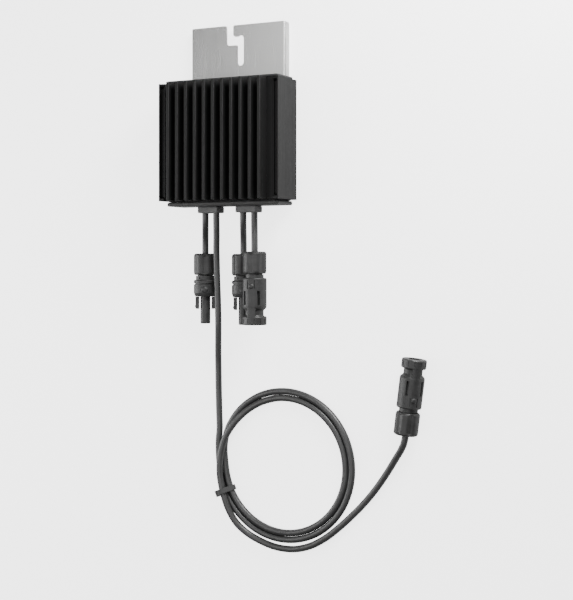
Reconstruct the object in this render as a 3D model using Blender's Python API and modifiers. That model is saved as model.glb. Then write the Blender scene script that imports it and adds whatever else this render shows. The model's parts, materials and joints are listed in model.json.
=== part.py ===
"""Module-level DC power optimiser, lying on its back with its four leads.

Frame: metres. z = 0 is the plane of the mounting bracket's rear edges, +Z points out
through the cooling fins, +Y points to the bracket's free end, -Y to the cable end.
The origin is the bottom centre of the device without its leads.
"""

import math

import bmesh
import bpy
from mathutils import Matrix, Vector

MM = 0.001
GAP = 0.3 * MM

# Device, driving dimensions
TOTAL_LENGTH = 173.6 * MM
BODY_WIDTH = 124.0 * MM
FIN_COUNT = 11
FIN_PITCH = 9.42 * MM
FIN_TIP_WIDTH = 3.1 * MM
FIN_ROOT_WIDTH = 3.5 * MM
FIN_TIP_CHAMFER = 0.5 * MM
FIN_TIP_Z = 53.6 * MM
GROOVE_FLOOR_Z = 41.9 * MM
LIP_Z = 44.6 * MM
LIP_WIDTH = 1.1 * MM
RIB_Z = 43.1 * MM
RIB_INNER_X = 56.2 * MM
RIB_OUTER_X = 57.1 * MM
HOUSING_TOP_Y = 31.8 * MM
HOUSING_BOTTOM_Y = -75.9 * MM
REAR_EDGE = 1.5 * MM

# Bracket
SHEET = 1.8 * MM
BRACKET_FRONT_Z = 7.3 * MM
BRACKET_WIDTH = 99.6 * MM
BRACKET_TOP_Y = TOTAL_LENGTH / 2
BRACKET_BOTTOM_Y = -56.0 * MM
BEND_RADIUS = 2.2 * MM
CORNER_RADIUS = 2.2 * MM
ENTRY_LEFT_X = -11.8 * MM
ENTRY_RIGHT_X = -4.6 * MM
ENTRY_FLOOR_Y = 68.3 * MM
SLOT_LEFT_X = -0.5 * MM
SLOT_RIGHT_X = 6.5 * MM
SLOT_BOTTOM_Y = 49.1 * MM
SLOT_TOP_Y = 77.2 * MM
NOSE_Y = 76.3 * MM
FILLET = 3.0 * MM

# Cavity and end caps
BACK_Z = BRACKET_FRONT_Z + GAP
CAVITY_HALF_WIDTH = 53.5 * MM
CAVITY_REAR_Z = 12.6 * MM
CAVITY_FRONT_Z = 33.8 * MM
BOSS = 6.8 * MM
CAP_WIDTH = 115.8 * MM
CAP_REAR_Z = 8.4 * MM
CAP_FRONT_Z = 37.3 * MM
TOP_CAP_Y = 34.9 * MM
BOTTOM_CAP_Y = -80.7 * MM
GASKET = 0.4 * MM
CAP_SCREW_X = 50.3 * MM
CAP_SCREW_Z = (15.8 * MM, 30.6 * MM)
CAP_SCREW_RADIUS = 1.35 * MM
CAP_HEAD_RADIUS = 2.8 * MM
CAP_HEAD_DEPTH = 1.4 * MM
CAP_SCREW_LENGTH = 11.0 * MM

# Bracket screws
BRACKET_SCREW_X = 38.0 * MM
BRACKET_SCREW_Y = (16.0 * MM, -42.0 * MM)
BRACKET_SCREW_RADIUS = 1.85 * MM

# Leads
CABLE_RADIUS = 3.05 * MM
EXIT_Z = 21.8 * MM
EXIT_Y = -TOTAL_LENGTH / 2
LEAD_START_Y = -62.0 * MM
GROMMET_X = 19.9 * MM
LEAD_SPACING = 11.6 * MM
GROMMET_SIZE = (21.0 * MM, 5.8 * MM, 13.7 * MM)
GROMMET_NECK = (18.4 * MM, 9.4 * MM, 11.1 * MM)
BORE_RADIUS = CABLE_RADIUS + 0.35 * MM
TABLE_CABLE_Z = CABLE_RADIUS + 0.05 * MM

# Connectors, distances along the axis from the back of the union nut
NUT_LENGTH = 20.0 * MM
NUT_RADIUS = 10.8 * MM
NUT_BORE = 7.7 * MM
STEM_RADIUS = 7.2 * MM
NECK_RADIUS = 8.4 * MM
PLUG_LENGTH = 65.0 * MM
SOCKET_LENGTH = 66.2 * MM
PLUG_SHELL_END = 39.8 * MM
BARREL_RADIUS = 4.6 * MM
SHELL_RADIUS = 10.9 * MM
REST_Z = NUT_RADIUS + 0.1 * MM
SEGMENTS = 20

# Coil of the long lead
COIL_CENTRE = (46.65 * MM, -316.4 * MM)
COIL_INNER_RADIUS = 58.1 * MM
COIL_OUTER_RADIUS = 70.4 * MM
TIE_ANGLE = 204.0
TIE_THICKNESS = 1.1 * MM
TIE_WIDTH = 4.6 * MM

# Route of the long lead: out of the grommet, over the left plug and down to the table
LONG_LEAD_ROUTE = [
    (-14.0, -62.0, 21.8), (-14.0, -87.0, 21.8), (-14.3, -98.0, 21.3), (-15.4, -109.0, 19.2),
    (-16.9, -120.0, 16.9), (-17.4, -132.0, 15.6), (-17.3, -146.0, 15.1), (-16.8, -160.0, 14.9),
    (-16.5, -174.0, 14.6), (-16.9, -188.0, 13.4), (-18.7, -202.0, 10.4), (-20.8, -216.0, 6.9),
    (-22.2, -230.0, 4.2), (-22.6, -244.0, 3.2), (-22.3, -258.0, 3.1), (-21.9, -272.0, 3.1),
    (-21.5, -286.6, 3.1),
]
# Route of its tail: off the top of the coil, down its outside and away, up into the socket's nut
TAIL_ROUTE = [
    (-12.4, -294.9, 9.5), (-16.9, -310.8, 9.6), (-17.6, -327.7, 9.6), (-14.4, -343.6, 9.6),
    (-9.1, -358.4, 9.4), (-1.4, -371.6, 7.6), (9.3, -381.0, 5.1), (23.5, -387.7, 3.5),
    (38.8, -391.5, 3.1), (55.9, -391.7, 3.1), (72.5, -387.3, 3.1), (87.4, -379.1, 3.1),
    (99.8, -369.5, 3.1), (111.2, -359.3, 3.1), (122.8, -347.9, 3.1), (133.4, -336.0, 3.3),
    (143.2, -323.4, 4.0),
    (151.5, -311.8, 5.5), (158.4, -302.0, 7.9), (163.4, -295.1, 9.7), (166.3, -290.0, 10.6),
    (167.6, -286.0, 10.9), (168.0, -283.9, 10.9),
]


def clear_scene():
    for item in list(bpy.data.objects):
        bpy.data.objects.remove(item, do_unlink=True)


def new_collection(name):
    collection = bpy.data.collections.new(name)
    bpy.context.scene.collection.children.link(collection)
    return collection


clear_scene()
PARTS = new_collection("power_optimiser")
CUTTERS = new_collection("cutters")


def material(name, colour, roughness, metallic=0.0):
    made = bpy.data.materials.get(name)
    if made is None:
        made = bpy.data.materials.new(name)
        made.use_nodes = True
        shader = made.node_tree.nodes["Principled BSDF"]
        shader.inputs["Base Color"].default_value = (*colour, 1.0)
        shader.inputs["Roughness"].default_value = roughness
        shader.inputs["Metallic"].default_value = metallic
    return made


def anodised():
    return material("black_anodised_aluminium", (0.012, 0.012, 0.013), 0.45, 0.6)


def cast_cap():
    return material("cast_cap_aluminium", (0.06, 0.06, 0.06), 0.5, 0.5)


def steel():
    return material("bright_sheet_steel", (0.55, 0.55, 0.54), 0.35, 0.9)


def screw_steel():
    return material("screw_steel", (0.45, 0.45, 0.45), 0.35, 0.9)


def black_rubber():
    return material("black_rubber", (0.02, 0.02, 0.02), 0.8)


def grommet_rubber():
    return material("grommet_rubber", (0.12, 0.12, 0.12), 0.65)


def cable_jacket():
    return material("cable_jacket", (0.045, 0.045, 0.045), 0.55)


def connector_plastic():
    return material("connector_plastic", (0.09, 0.09, 0.09), 0.5)


def tinned_copper():
    return material("tinned_copper", (0.6, 0.58, 0.54), 0.3, 1.0)


def board_laminate():
    return material("board_laminate", (0.02, 0.12, 0.05), 0.5)


def ferrite():
    return material("ferrite", (0.05, 0.05, 0.055), 0.6)


def copper_wire():
    return material("copper_wire", (0.6, 0.25, 0.1), 0.35, 1.0)


def moulded_black():
    return material("moulded_black", (0.03, 0.03, 0.03), 0.5)


def silicone_pad():
    return material("silicone_pad", (0.35, 0.38, 0.42), 0.8)


def tie_nylon():
    return material("tie_nylon", (0.03, 0.03, 0.03), 0.5)


def add_object(name, mesh, finish, cutter=False):
    made = bpy.data.objects.new(name, mesh)
    if cutter:
        CUTTERS.objects.link(made)
        made.hide_render = True
        made.display_type = "WIRE"
    else:
        PARTS.objects.link(made)
        mesh.materials.clear()
        mesh.materials.append(finish)
    return made


def closed_mesh(source, name):
    """The evaluated mesh of a helper object, welded, facing out; the helper is removed."""
    bpy.context.view_layer.update()
    graph = bpy.context.evaluated_depsgraph_get()
    mesh = bpy.data.meshes.new_from_object(source.evaluated_get(graph))
    mesh.name = name
    shape = bmesh.new()
    shape.from_mesh(mesh)
    bmesh.ops.remove_doubles(shape, verts=shape.verts, dist=0.00001)
    bmesh.ops.recalc_face_normals(shape, faces=shape.faces)
    shape.to_mesh(mesh)
    shape.free()
    bpy.data.objects.remove(source, do_unlink=True)
    return mesh


def outline_mesh(name, loops, thickness):
    """A flat outline in local XY, loops after the first being holes, thick about z = 0."""
    curve = bpy.data.curves.new(name, "CURVE")
    curve.dimensions = "2D"
    curve.fill_mode = "BOTH"
    curve.extrude = thickness / 2
    for loop in loops:
        spline = curve.splines.new("POLY")
        spline.points.add(len(loop) - 1)
        for point, (x, y) in zip(spline.points, loop):
            point.co = (x, y, 0.0, 1.0)
        spline.use_cyclic_u = True
    helper = bpy.data.objects.new(name + "_outline", curve)
    CUTTERS.objects.link(helper)
    return closed_mesh(helper, name)


def flat_part(name, loops, z_low, z_high, finish=None, cutter=False):
    """An outline in XY between two heights."""
    made = add_object(name, outline_mesh(name, loops, z_high - z_low), finish, cutter)
    made.location.z = (z_low + z_high) / 2
    return made


def profile_part(name, loops, y_low, y_high, finish=None, cutter=False):
    """An outline in XZ run along Y, as an extruded profile is."""
    made = add_object(name, outline_mesh(name, loops, y_high - y_low), finish, cutter)
    made.rotation_euler = (math.pi / 2, 0.0, 0.0)
    made.location.y = (y_low + y_high) / 2
    return made


def turned_mesh(name, profile, segments=SEGMENTS):
    """A closed profile of (distance along the axis, radius) turned about local Z."""
    mesh = bpy.data.meshes.new(name)
    points = [(radius, 0.0, along) for along, radius in profile]
    on_axis = profile[0][1] == 0.0 and profile[-1][1] == 0.0
    count = len(points)
    edges = [(i, i + 1) for i in range(count - 1)]
    if not on_axis:
        edges.append((count - 1, 0))
    mesh.from_pydata(points, edges, [])
    helper = bpy.data.objects.new(name + "_profile", mesh)
    CUTTERS.objects.link(helper)
    screw = helper.modifiers.new("turn", "SCREW")
    screw.axis = "Z"
    screw.angle = math.tau
    screw.steps = segments
    screw.render_steps = segments
    screw.use_merge_vertices = True
    screw.merge_threshold = 0.00001
    return closed_mesh(helper, name)


def turned_part(name, profile, finish=None, cutter=False, segments=SEGMENTS):
    mesh = turned_mesh(name, profile, segments)
    mesh.shade_smooth()
    mesh.set_sharp_from_angle(angle=math.radians(35))
    return add_object(name, mesh, finish, cutter)


def block(name, size, centre, finish=None, bevel=0.0, cutter=False):
    shape = bmesh.new()
    bmesh.ops.create_cube(shape, size=1.0)
    bmesh.ops.scale(shape, vec=Vector(size), verts=shape.verts)
    mesh = bpy.data.meshes.new(name)
    shape.to_mesh(mesh)
    shape.free()
    made = add_object(name, mesh, finish, cutter)
    made.location = centre
    if bevel:
        rounding = made.modifiers.new("edges", "BEVEL")
        rounding.width = bevel
        rounding.segments = 2
    return made


def cut(target, *cutters, operation="DIFFERENCE"):
    for cutter in cutters:
        step = target.modifiers.new(cutter.name, "BOOLEAN")
        step.operation = operation
        step.solver = "EXACT"
        step.object = cutter


def arc(centre, radius, start, end, steps=5):
    """Points of an arc in degrees, both ends included."""
    return [(centre[0] + radius * math.cos(math.radians(start + (end - start) * i / steps)),
             centre[1] + radius * math.sin(math.radians(start + (end - start) * i / steps)))
            for i in range(steps + 1)]


def rounded_rectangle(x_low, x_high, y_low, y_high, radius, steps=4):
    return (arc((x_high - radius, y_low + radius), radius, -90, 0, steps)
            + arc((x_high - radius, y_high - radius), radius, 0, 90, steps)
            + arc((x_low + radius, y_high - radius), radius, 90, 180, steps)
            + arc((x_low + radius, y_low + radius), radius, 180, 270, steps))


def smooth_route(points, spacing):
    """Points about `spacing` apart on a Catmull-Rom curve through the route's points."""
    route = [Vector(point) for point in points]
    padded = [2 * route[0] - route[1], *route, 2 * route[-1] - route[-2]]
    made = []
    for before, start, end, after in zip(padded, padded[1:], padded[2:], padded[3:]):
        steps = max(1, round((end - start).length / spacing))
        for i in range(steps):
            t = i / steps
            made.append(0.5 * (2 * start + (end - before) * t
                               + (2 * before - 5 * start + 4 * end - after) * t ** 2
                               + (3 * start - before - 3 * end + after) * t ** 3))
    made.append(route[-1])
    return made


def tube(name, points, radius, finish):
    curve = bpy.data.curves.new(name, "CURVE")
    curve.dimensions = "3D"
    curve.bevel_depth = radius
    curve.bevel_resolution = 2
    curve.use_fill_caps = True
    spline = curve.splines.new("POLY")
    spline.points.add(len(points) - 1)
    for point, place in zip(spline.points, points):
        point.co = (*place, 1.0)
    made = bpy.data.objects.new(name, curve)
    PARTS.objects.link(made)
    curve.materials.append(finish)
    return made


# ---------------------------------------------------------------- housing and caps

def fin_half_profile():
    """The front of the housing from the middle fin outwards, as (x, z)."""
    half_tip = FIN_TIP_WIDTH / 2
    half_root = FIN_ROOT_WIDTH / 2
    shoulder = FIN_TIP_Z - FIN_TIP_CHAMFER
    points = []
    for index in range((FIN_COUNT + 1) // 2):
        centre = index * FIN_PITCH
        if index:
            points += [(centre - half_root, GROOVE_FLOOR_Z), (centre - half_tip, shoulder),
                       (centre - half_tip + FIN_TIP_CHAMFER, FIN_TIP_Z)]
        points += [(centre + half_tip - FIN_TIP_CHAMFER, FIN_TIP_Z),
                   (centre + half_tip, shoulder), (centre + half_root, GROOVE_FLOOR_Z)]
    return points


def side_profile():
    """The margin outside the last fin: low rib, outer lip, side wall and rear edge."""
    side = BODY_WIDTH / 2
    return [(RIB_INNER_X, GROOVE_FLOOR_Z), (RIB_INNER_X, RIB_Z), (RIB_OUTER_X, RIB_Z),
            (RIB_OUTER_X, GROOVE_FLOOR_Z), (side - LIP_WIDTH, GROOVE_FLOOR_Z),
            (side - LIP_WIDTH, LIP_Z), (side, LIP_Z), (side, BACK_Z + REAR_EDGE),
            (side - REAR_EDGE, BACK_Z)]


def cavity_profile():
    """The bore of the housing, with a square boss in each corner for a cap screw."""
    wide, narrow = CAVITY_HALF_WIDTH, CAVITY_HALF_WIDTH - BOSS
    low, high = CAVITY_REAR_Z, CAVITY_FRONT_Z
    right = [(narrow, low), (narrow, low + BOSS), (wide, low + BOSS),
             (wide, high - BOSS), (narrow, high - BOSS), (narrow, high)]
    return right + [(-x, z) for x, z in reversed(right)]


def screw_cutter(name, x, y_face, z, outward):
    """A countersunk clearance hole: outward is +1 at the top cap and -1 at the bottom."""
    wide = CAP_HEAD_RADIUS + GAP
    narrow = CAP_SCREW_RADIUS + GAP
    depth = CAP_HEAD_DEPTH + 0.15 * MM
    length = CAP_SCREW_LENGTH + 0.6 * MM
    profile = [(0.9 * MM, 0.0), (0.9 * MM, wide), (-0.12 * MM, wide), (-depth, narrow),
               (-length, narrow), (-length, 0.0)]
    made = turned_part(name, profile, cutter=True, segments=12)
    made.location = (x, y_face, z)
    made.rotation_euler = (-outward * math.pi / 2, 0.0, 0.0)
    return made


def cap_screw(name, x, y_face, z, outward):
    flush = 0.15 * MM
    radius = CAP_SCREW_RADIUS
    profile = [(-flush, 0.0), (-flush, CAP_HEAD_RADIUS - 0.1 * MM),
               (-CAP_HEAD_DEPTH, radius), (-CAP_SCREW_LENGTH, radius),
               (-CAP_SCREW_LENGTH, 0.0)]
    made = turned_part(name, profile, screw_steel(), segments=12)
    made.location = (x, y_face, z)
    made.rotation_euler = (-outward * math.pi / 2, 0.0, 0.0)
    recess = block(name + "_drive", (0.8 * MM, 3.2 * MM, 1.2 * MM), (0.0, 0.0, -flush),
                   cutter=True)
    recess.parent = made
    cut(made, recess)
    return made


def cap_screw_places():
    return [(x, z) for z in CAP_SCREW_Z for x in (-CAP_SCREW_X, CAP_SCREW_X)]


def bracket_screw_places():
    return [(x, y) for y in BRACKET_SCREW_Y for x in (-BRACKET_SCREW_X, BRACKET_SCREW_X)]


def channel_stop(name, side, end):
    """A sloped wedge that closes the end of the margin channel outside the low rib."""
    edge = HOUSING_TOP_Y if end > 0 else HOUSING_BOTTOM_Y
    overlap = 0.3 * MM
    low, high = GROOVE_FLOOR_Z - overlap, LIP_Z - 0.2 * MM
    inset = edge - end * 0.2 * MM
    outline = [(inset, low), (inset, high), (edge - end * 2.2 * MM, high),
               (edge - end * 4.6 * MM, low)]
    inner = RIB_OUTER_X - overlap
    outer = BODY_WIDTH / 2 - LIP_WIDTH + overlap
    mesh = outline_mesh(name, [outline], outer - inner)
    made = add_object(name, mesh, None, cutter=True)
    turn = Matrix(((0, 0, 1), (1, 0, 0), (0, 1, 0))).to_4x4()
    made.matrix_world = Matrix.Translation((side * (inner + outer) / 2, 0, 0)) @ turn
    return made


def make_housing():
    half = fin_half_profile() + side_profile()
    outline = half + [(-x, z) for x, z in reversed(half)]
    housing = profile_part("heatsink_housing", [outline, cavity_profile()],
                           HOUSING_BOTTOM_Y, HOUSING_TOP_Y, anodised())
    for side in (-1, 1):
        for end in (-1, 1):
            name = f"channel_stop_{side + 2}{end + 2}"
            cut(housing, channel_stop(name, side, end), operation="UNION")
    for index, (x, z) in enumerate(cap_screw_places()):
        cut(housing,
            screw_cutter(f"top_hole_{index}", x, TOP_CAP_Y, z, 1),
            screw_cutter(f"bottom_hole_{index}", x, BOTTOM_CAP_Y, z, -1))
    for index, (x, y) in enumerate(bracket_screw_places()):
        radius = BRACKET_SCREW_RADIUS + GAP
        hole = turned_part(f"bracket_hole_{index}",
                           [(BACK_Z + 4.1 * MM, 0.0), (BACK_Z + 4.1 * MM, radius),
                            (0.0, radius), (0.0, 0.0)], cutter=True, segments=12)
        hole.location = (x, y, 0.0)
        cut(housing, hole)
    return housing


def make_cap(name, y_inner, y_outer, outward, bevel):
    size = (CAP_WIDTH, abs(y_outer - y_inner), CAP_FRONT_Z - CAP_REAR_Z)
    centre = (0.0, (y_inner + y_outer) / 2, (CAP_FRONT_Z + CAP_REAR_Z) / 2)
    cap = block(name, size, centre, cast_cap(), bevel)
    prefix = "top" if outward > 0 else "bottom"
    for index in range(len(cap_screw_places())):
        cut(cap, bpy.data.objects[f"{prefix}_hole_{index}"])
    return cap


def make_gasket(name, y_low, y_high, prefix):
    inset = 0.7 * MM
    outer = rounded_rectangle(-CAP_WIDTH / 2 + inset, CAP_WIDTH / 2 - inset,
                              CAP_REAR_Z + inset, CAP_FRONT_Z - inset, 3.0 * MM)
    wide = CAVITY_HALF_WIDTH - BOSS - 0.6 * MM
    inner = rounded_rectangle(-wide, wide, CAVITY_REAR_Z + 0.4 * MM,
                              CAVITY_FRONT_Z - 0.4 * MM, 1.5 * MM)
    gasket = profile_part(name, [outer, inner], y_low, y_high, black_rubber())
    for index in range(len(cap_screw_places())):
        cut(gasket, bpy.data.objects[f"{prefix}_hole_{index}"])
    return gasket


def grommet_centre(side):
    return side * GROMMET_X


def lead_exit_x(group, place):
    """X of a lead: group and place are -1 or +1, left to right."""
    return grommet_centre(group) + place * LEAD_SPACING / 2


def make_grommet(name, group):
    centre_x = grommet_centre(group)
    depth = GROMMET_SIZE[1]
    neck_width, neck_length, neck_height = GROMMET_NECK
    y_face = EXIT_Y + depth
    head = block(name, GROMMET_SIZE, (centre_x, EXIT_Y + depth / 2, EXIT_Z),
                 grommet_rubber(), 1.0 * MM)
    neck = block(name + "_neck", (neck_width, neck_length + 1.0 * MM, neck_height),
                 (centre_x, y_face + (neck_length - 1.0 * MM) / 2, EXIT_Z), cutter=True)
    cut(head, neck, operation="UNION")
    for place in (-1, 1):
        bore = turned_part(f"{name}_bore_{place + 2}",
                           [(20.0 * MM, 0.0), (20.0 * MM, BORE_RADIUS),
                            (-5.0 * MM, BORE_RADIUS), (-5.0 * MM, 0.0)], cutter=True)
        bore.rotation_euler = (-math.pi / 2, 0.0, 0.0)
        bore.location = (lead_exit_x(group, place), EXIT_Y, EXIT_Z)
        cut(head, bore)
    return head


def make_bottom_cap():
    y_inner = HOUSING_BOTTOM_Y - 2 * GAP - GASKET
    cap = make_cap("bottom_end_cap", y_inner, BOTTOM_CAP_Y, -1, 1.3 * MM)
    for group in (-1, 1):
        centre_x = grommet_centre(group)
        half_width = GROMMET_NECK[0] / 2 + GAP
        half_height = GROMMET_NECK[2] / 2 + GAP
        outline = [(centre_x - half_width, EXIT_Z - half_height),
                   (centre_x + half_width, EXIT_Z - half_height),
                   (centre_x + half_width, EXIT_Z + half_height),
                   (centre_x - half_width, EXIT_Z + half_height)]
        opening = profile_part(f"grommet_opening_{group + 2}", [outline],
                               BOTTOM_CAP_Y - 2 * MM, y_inner + 2 * MM, cutter=True)
        cut(cap, opening)


def make_enclosure():
    make_housing()
    top_inner = HOUSING_TOP_Y + 2 * GAP + GASKET
    make_cap("top_end_cap", top_inner, TOP_CAP_Y, 1, 0.7 * MM)
    make_bottom_cap()
    make_gasket("top_gasket", HOUSING_TOP_Y + GAP, HOUSING_TOP_Y + GAP + GASKET, "top")
    make_gasket("bottom_gasket", HOUSING_BOTTOM_Y - GAP - GASKET, HOUSING_BOTTOM_Y - GAP,
                "bottom")
    for index, (x, z) in enumerate(cap_screw_places()):
        cap_screw(f"top_cap_screw_{index + 1}", x, TOP_CAP_Y, z, 1)
        cap_screw(f"bottom_cap_screw_{index + 1}", x, BOTTOM_CAP_Y, z, -1)
    make_grommet("left_grommet", -1)
    make_grommet("right_grommet", 1)


# ---------------------------------------------------------------- bracket

def bracket_outline():
    """The bracket seen from the front: open entry, jog under the nose, bolt slot."""
    half = BRACKET_WIDTH / 2
    slot_radius = (SLOT_RIGHT_X - SLOT_LEFT_X) / 2
    slot_centre = (SLOT_LEFT_X + SLOT_RIGHT_X) / 2
    mouth = 1.6 * MM
    nose_radius = 2.2 * MM
    edge = 1.2 * MM
    top = BRACKET_TOP_Y
    return ([(-half, BRACKET_BOTTOM_Y), (half, BRACKET_BOTTOM_Y)]
            + arc((half - CORNER_RADIUS, top - CORNER_RADIUS), CORNER_RADIUS, 0, 90, 4)
            + arc((ENTRY_RIGHT_X + mouth, top - mouth), mouth, 90, 180, 4)
            + arc((ENTRY_RIGHT_X + nose_radius, NOSE_Y + nose_radius), nose_radius, 180, 270, 4)
            + [(SLOT_LEFT_X + 0.8 * MM, NOSE_Y)]
            + arc((slot_centre, SLOT_TOP_Y - slot_radius), slot_radius, 100, 0, 5)
            + arc((slot_centre, SLOT_BOTTOM_Y + slot_radius), slot_radius, 0, -180, 10)
            + arc((SLOT_LEFT_X - edge, ENTRY_FLOOR_Y - edge), edge, 0, 90, 3)
            + arc((ENTRY_LEFT_X + FILLET, ENTRY_FLOOR_Y + FILLET), FILLET, 270, 180, 4)
            + arc((ENTRY_LEFT_X - mouth, top - mouth), mouth, 0, 90, 4)
            + arc((-half + CORNER_RADIUS, top - CORNER_RADIUS), CORNER_RADIUS, 90, 180, 4))


def make_bracket():
    """Folded sheet: a plate behind the body with a stiffening flange down each side."""
    half = BRACKET_WIDTH / 2
    front, inner_front = BRACKET_FRONT_Z, BRACKET_FRONT_Z - SHEET
    inner_radius = BEND_RADIUS - SHEET
    channel = ([(-half, 0.0)]
               + arc((-half + BEND_RADIUS, front - BEND_RADIUS), BEND_RADIUS, 180, 90, 4)
               + arc((half - BEND_RADIUS, front - BEND_RADIUS), BEND_RADIUS, 90, 0, 4)
               + [(half, 0.0), (half - SHEET, 0.0)]
               + arc((half - SHEET - inner_radius, inner_front - inner_radius), inner_radius,
                     0, 90, 2)
               + arc((-half + SHEET + inner_radius, inner_front - inner_radius), inner_radius,
                     90, 180, 2)
               + [(-half + SHEET, 0.0)])
    margin = 2.0 * MM
    bracket = profile_part("mounting_bracket", [channel], BRACKET_BOTTOM_Y - margin,
                           BRACKET_TOP_Y + margin, steel())
    blank = flat_part("bracket_blank", [bracket_outline()], -margin, front + margin,
                      cutter=True)
    cut(bracket, blank, operation="INTERSECT")
    for index, (x, y) in enumerate(bracket_screw_places()):
        cut(bracket, bpy.data.objects[f"bracket_hole_{index}"])
        shank = BRACKET_SCREW_RADIUS
        under_head = inner_front - GAP
        head = 3.6 * MM
        profile = [(under_head - 2.3 * MM, 0.0), (under_head - 2.3 * MM, head - 0.9 * MM),
                   (under_head - 1.5 * MM, head), (under_head, head), (under_head, shank),
                   (BACK_Z + 3.7 * MM, shank), (BACK_Z + 3.7 * MM, 0.0)]
        screw = turned_part(f"bracket_screw_{index + 1}", profile, screw_steel(), segments=12)
        screw.location = (x, y, 0.0)


# ---------------------------------------------------------------- electronics

def make_electronics():
    board_z = CAVITY_REAR_Z + BOSS + GAP
    board_top = board_z + 1.6 * MM
    seat = board_top + GAP
    ceiling = CAVITY_FRONT_Z - GAP
    board_half = CAVITY_HALF_WIDTH - GAP - 0.2 * MM
    block("circuit_board", (2 * board_half, 86.0 * MM, 1.6 * MM),
          (0.0, -16.0 * MM, board_z + 0.8 * MM), board_laminate())

    core_height = 11.0 * MM
    flange = 2.2 * MM
    core = turned_part("inductor_core",
                       [(core_height, 0.0), (core_height, 12.5 * MM),
                        (core_height - flange, 12.5 * MM), (core_height - flange, 5.5 * MM),
                        (flange, 5.5 * MM), (flange, 12.5 * MM), (0.0, 12.5 * MM), (0.0, 0.0)],
                       ferrite())
    core.location = (-22.0 * MM, -4.0 * MM, seat)
    winding = turned_part("inductor_winding",
                          [(core_height - flange - GAP, 5.8 * MM),
                           (core_height - flange - GAP, 11.6 * MM),
                           (flange + GAP, 11.6 * MM), (flange + GAP, 5.8 * MM)], copper_wire())
    winding.location = core.location

    for index, x in enumerate((12.0 * MM, 28.0 * MM)):
        can = turned_part(f"capacitor_{index + 1}",
                          [(11.4 * MM, 0.0), (11.4 * MM, 5.4 * MM), (10.6 * MM, 6.2 * MM),
                           (0.0, 6.2 * MM), (0.0, 0.0)], moulded_black())
        can.location = (x, -22.0 * MM, seat)

    pad_thickness = 1.0 * MM
    package_height = ceiling - pad_thickness - GAP - seat
    for index, x in enumerate((10.0 * MM, 28.0 * MM)):
        block(f"power_transistor_{index + 1}", (10.2 * MM, 9.0 * MM, package_height),
              (x, 6.0 * MM, seat + package_height / 2), moulded_black())
    block("thermal_pad", (34.0 * MM, 14.0 * MM, pad_thickness),
          (19.0 * MM, 6.0 * MM, ceiling - pad_thickness / 2), silicone_pad())

    terminal = block("terminal_block", (64.0 * MM, 9.0 * MM, 6.4 * MM),
                     (0.0, -53.0 * MM, seat + 3.2 * MM), moulded_black(), 0.5 * MM)
    for group in (-1, 1):
        for place in (-1, 1):
            x = lead_exit_x(group, place)
            clamp = turned_part(f"clamp_hole_{group + 2}{place + 2}",
                                [(5.0 * MM, 0.0), (5.0 * MM, 1.9 * MM), (-1.0 * MM, 1.9 * MM),
                                 (-1.0 * MM, 0.0)], cutter=True, segments=12)
            clamp.rotation_euler = (-math.pi / 2, 0.0, 0.0)
            clamp.location = (x, -57.5 * MM, seat + 3.2 * MM)
            cut(terminal, clamp)


# ---------------------------------------------------------------- connectors

def connector_frame(name, entry, heading, roll):
    """An empty with local Z along the connector and local Y its flat side's normal.

    heading is the axis direction in degrees from +X about Z, roll turns the normal from
    straight up towards +X.
    """
    axis = Vector((math.cos(math.radians(heading)), math.sin(math.radians(heading)), 0.0))
    across = axis.cross(Vector((0.0, 0.0, 1.0)))
    if across.x < 0:
        across = -across
    normal = (Vector((0.0, 0.0, 1.0)) * math.cos(math.radians(roll))
              + across * math.sin(math.radians(roll)))
    side = normal.cross(axis)
    turn = Matrix((side, normal, axis)).transposed().to_4x4()
    empty = bpy.data.objects.new(name, None)
    PARTS.objects.link(empty)
    empty.matrix_world = Matrix.Translation(entry) @ turn
    return empty


def on_frame(made, frame):
    made.parent = frame
    return made


def make_gland(name, frame):
    """The parts that every connector has behind its body: nut, cage and seal."""
    nut = [(0.0, BORE_RADIUS), (0.0, NUT_RADIUS - 1.5 * MM), (1.4 * MM, NUT_RADIUS),
           (NUT_LENGTH - 1.2 * MM, NUT_RADIUS), (NUT_LENGTH, NUT_RADIUS - 0.7 * MM),
           (NUT_LENGTH, NUT_BORE), (6.8 * MM, NUT_BORE), (3.4 * MM, BORE_RADIUS + 0.3 * MM),
           (3.4 * MM, BORE_RADIUS)]
    on_frame(turned_part(name + "_nut", nut, connector_plastic(), segments=24), frame)
    cage = [(4.4 * MM, BORE_RADIUS), (4.4 * MM, 4.2 * MM), (6.9 * MM, 6.7 * MM),
            (9.2 * MM, 6.7 * MM), (9.2 * MM, BORE_RADIUS)]
    on_frame(turned_part(name + "_cage", cage, moulded_black()), frame)
    seal = [(9.9 * MM, BORE_RADIUS), (9.9 * MM, 5.4 * MM), (21.0 * MM, 5.4 * MM),
            (21.0 * MM, BORE_RADIUS)]
    on_frame(turned_part(name + "_seal", seal, black_rubber()), frame)


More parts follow.
